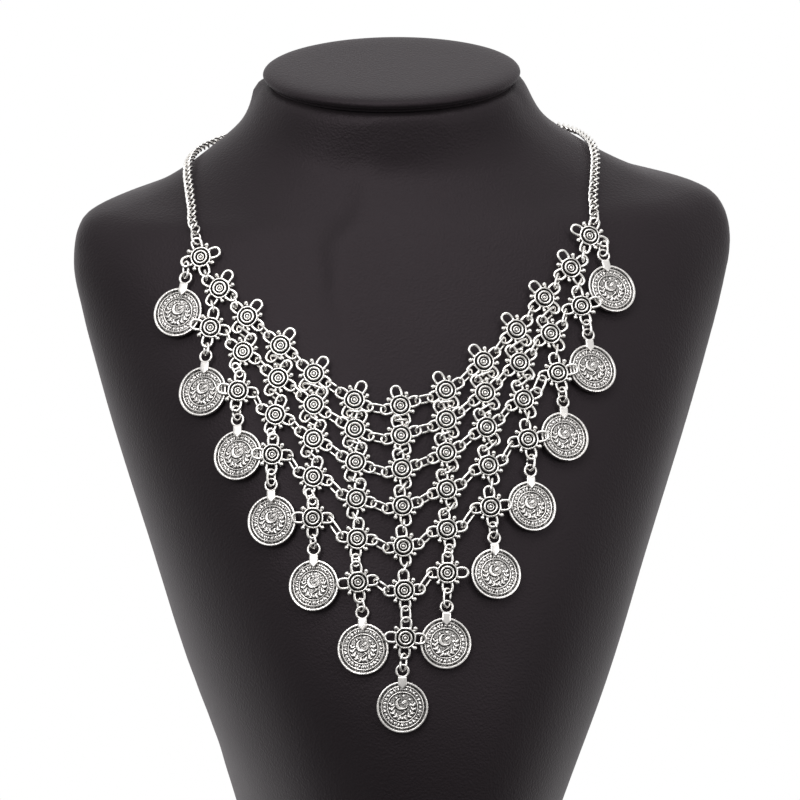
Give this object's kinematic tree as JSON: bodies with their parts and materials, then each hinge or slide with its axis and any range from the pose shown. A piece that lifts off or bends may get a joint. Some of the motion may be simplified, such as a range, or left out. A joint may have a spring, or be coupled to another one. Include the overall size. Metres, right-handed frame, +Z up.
{
  "type": "coin necklace on a neck bust display",
  "caption": "V-shaped net necklace of four-loop rosettes and wire links with hanging relief coins and a curb chain, worn on a padded neck bust display",
  "frame": {"origin": "middle of the bust's foot, on the surface it stands on", "axes": "+Z up, the front of the bust and the necklace's net face -Y, +X to the right of the picture"},
  "size_m": [0.237, 0.2088, 0.2991],
  "materials": {
    "bust_cover": "dark charcoal leatherette with fine grain, semi-matte",
    "cap_cover": "dark charcoal leatherette, padded, semi-matte",
    "net_metal": "antique silver plate with dark patina in the recesses",
    "coin_metal": "antique silver plate with dark patina in the relief",
    "chain_metal": "bright silver plate"
  },
  "bodies": {
    "root": {"bust_body": "bust_cover", "neck_cap": "cap_cover", "rosette_row_1": "net_metal", "rosette_row_2": "net_metal", "rosette_row_3": "net_metal", "rosette_row_4": "net_metal", "rosette_row_5": "net_metal", "rosette_row_6": "net_metal", "rosette_row_7": "net_metal", "row_links_1": "net_metal", "row_links_2": "net_metal", "row_links_3": "net_metal", "row_links_4": "net_metal", "row_links_5": "net_metal", "row_links_6": "net_metal", "column_links_1": "net_metal", "column_links_2": "net_metal", "column_links_3": "net_metal", "column_links_4": "net_metal", "column_links_5": "net_metal", "column_links_6": "net_metal", "coin_links": "net_metal", "chain_end_links": "chain_metal", "coin_left_6": "coin_metal", "coin_left_5": "coin_metal", "coin_left_4": "coin_metal", "coin_left_3": "coin_metal", "coin_left_2": "coin_metal", "coin_left_1": "coin_metal", "coin_middle": "coin_metal", "coin_right_1": "coin_metal", "coin_right_2": "coin_metal", "coin_right_3": "coin_metal", "coin_right_4": "coin_metal", "coin_right_5": "coin_metal", "coin_right_6": "coin_metal", "chain_left": "chain_metal", "chain_right": "chain_metal", "clasp": "chain_metal"}
  },
  "joints": []
}
